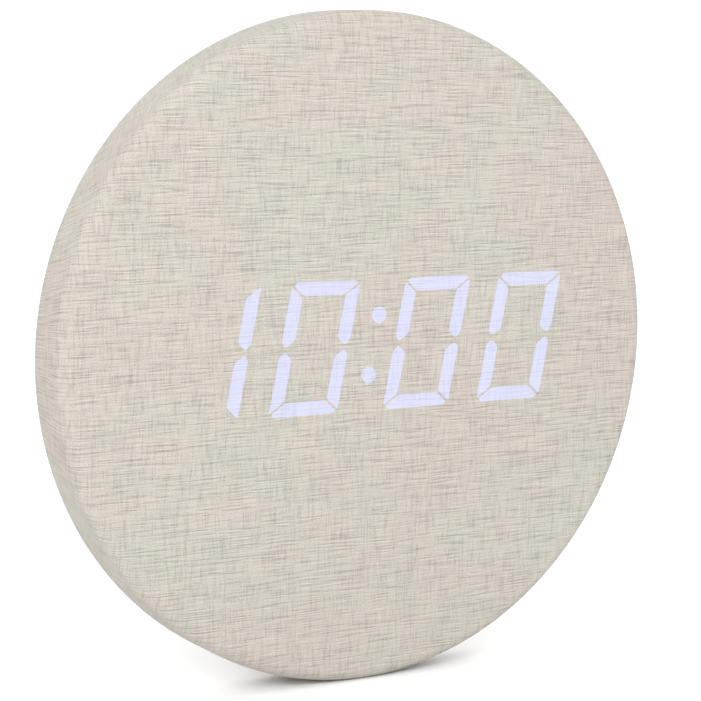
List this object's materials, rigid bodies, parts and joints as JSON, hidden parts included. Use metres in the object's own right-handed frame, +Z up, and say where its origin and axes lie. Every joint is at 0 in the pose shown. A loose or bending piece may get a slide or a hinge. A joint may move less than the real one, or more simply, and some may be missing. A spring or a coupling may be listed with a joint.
{
  "type": "alarm clock",
  "caption": "Round upright alarm clock: a slim cloth-covered disc whose slanted seven-segment digits shine through the weave, with rear buttons, battery door and fold-out leg.",
  "frame": {"origin": "on the table, below the middle of the clock as it stands with its leg open", "axes": "the face looks towards -Y, +X is to the right of someone who looks at the face, +Z is up"},
  "size_m": [0.25, 0.0784, 0.25],
  "materials": {
    "linen": "slubbed linen weave",
    "shell_abs": "moulded, plain",
    "rear_abs": "fine spark-eroded texture",
    "door_abs": "fine spark-eroded texture",
    "leg_abs": "fine spark-eroded texture",
    "button_abs": "satin",
    "block_white": "white reflector",
    "film": "translucent diffuser",
    "foam": "closed-cell foam",
    "ring_plastic": "plain",
    "board_green": "solder resist",
    "led": "phosphor lens",
    "chip_black": "moulded epoxy",
    "black_plastic": "moulded",
    "connector": "nylon",
    "ribbon": "flat cable",
    "steel": "zinc plated",
    "bright_steel": "polished pin",
    "spring_steel": "nickel plated",
    "cell_sleeve": "plain shrink sleeve",
    "coin_steel": "stainless can",
    "wire_red": "insulation",
    "wire_black": "insulation",
    "rubber_grey": "soft rubber",
    "plunger": "acetal"
  },
  "bodies": {
    "case": {"fabric_cover": "linen", "front_shell": "shell_abs", "hem_ring": "ring_plastic", "diffuser_film": "film", "light_seal": "foam", "light_block": "block_white", "display_board": "board_green", "segment_leds": "led", "driver_chips": "chip_black", "display_screws": "steel", "microphone": "coin_steel", "buzzer": "black_plastic", "thermistor": "chip_black", "display_connector": "connector", "ribbon_cable": "ribbon", "main_connector": "connector", "main_board": "board_green", "controller_chip": "chip_black", "crystal": "coin_steel", "coin_holder": "black_plastic", "coin_cell": "coin_steel", "power_socket": "black_plastic", "tact_switches": "black_plastic", "main_board_screws": "steel", "rear_cover": "rear_abs", "rear_cover_screws": "steel", "battery_1": "cell_sleeve", "battery_2": "cell_sleeve", "battery_3": "cell_sleeve", "battery_springs": "spring_steel", "battery_contacts": "spring_steel", "battery_lead_red": "wire_red", "battery_lead_black": "wire_black", "door_pin": "bright_steel", "hanger_plate": "steel", "hanger_screws": "steel", "leg_pin": "bright_steel", "friction_washers": "spring_steel", "rim_feet": "rubber_grey"},
    "set_key": {"set_button": "button_abs", "plunger_1": "plunger"},
    "up_key": {"up_button": "button_abs", "plunger_2": "plunger"},
    "down_key": {"down_button": "button_abs", "plunger_3": "plunger"},
    "light_key": {"light_button": "button_abs", "plunger_4": "plunger"},
    "door": {"battery_door": "door_abs"},
    "leg": {"stand_leg": "leg_abs", "leg_pads": "rubber_grey"}
  },
  "joints": [
    {"name": "set_key_press", "type": "slide", "parent": "case", "child": "set_key", "axis": [0, -1, 0], "range_m": [0, 0.0007], "stiffness_N_per_m": 1500},
    {"name": "up_key_press", "type": "slide", "parent": "case", "child": "up_key", "axis": [0, -1, 0], "range_m": [0, 0.0007], "stiffness_N_per_m": 1500},
    {"name": "down_key_press", "type": "slide", "parent": "case", "child": "down_key", "axis": [0, -1, 0], "range_m": [0, 0.0007], "stiffness_N_per_m": 1500},
    {"name": "light_key_press", "type": "slide", "parent": "case", "child": "light_key", "axis": [0, -1, 0], "range_m": [0, 0.0007], "stiffness_N_per_m": 1500},
    {"name": "battery_door_open", "type": "hinge", "parent": "case", "child": "door", "pos_m": [0.056, -0.0188, 0.0882], "axis": [1, 0, 0], "range_deg": [0, 95]},
    {"name": "leg_fold", "type": "hinge", "parent": "case", "child": "leg", "pos_m": [0, -0.0208, 0.0145], "axis": [1, 0, 0], "range_deg": [0, 100.8]}
  ]
}
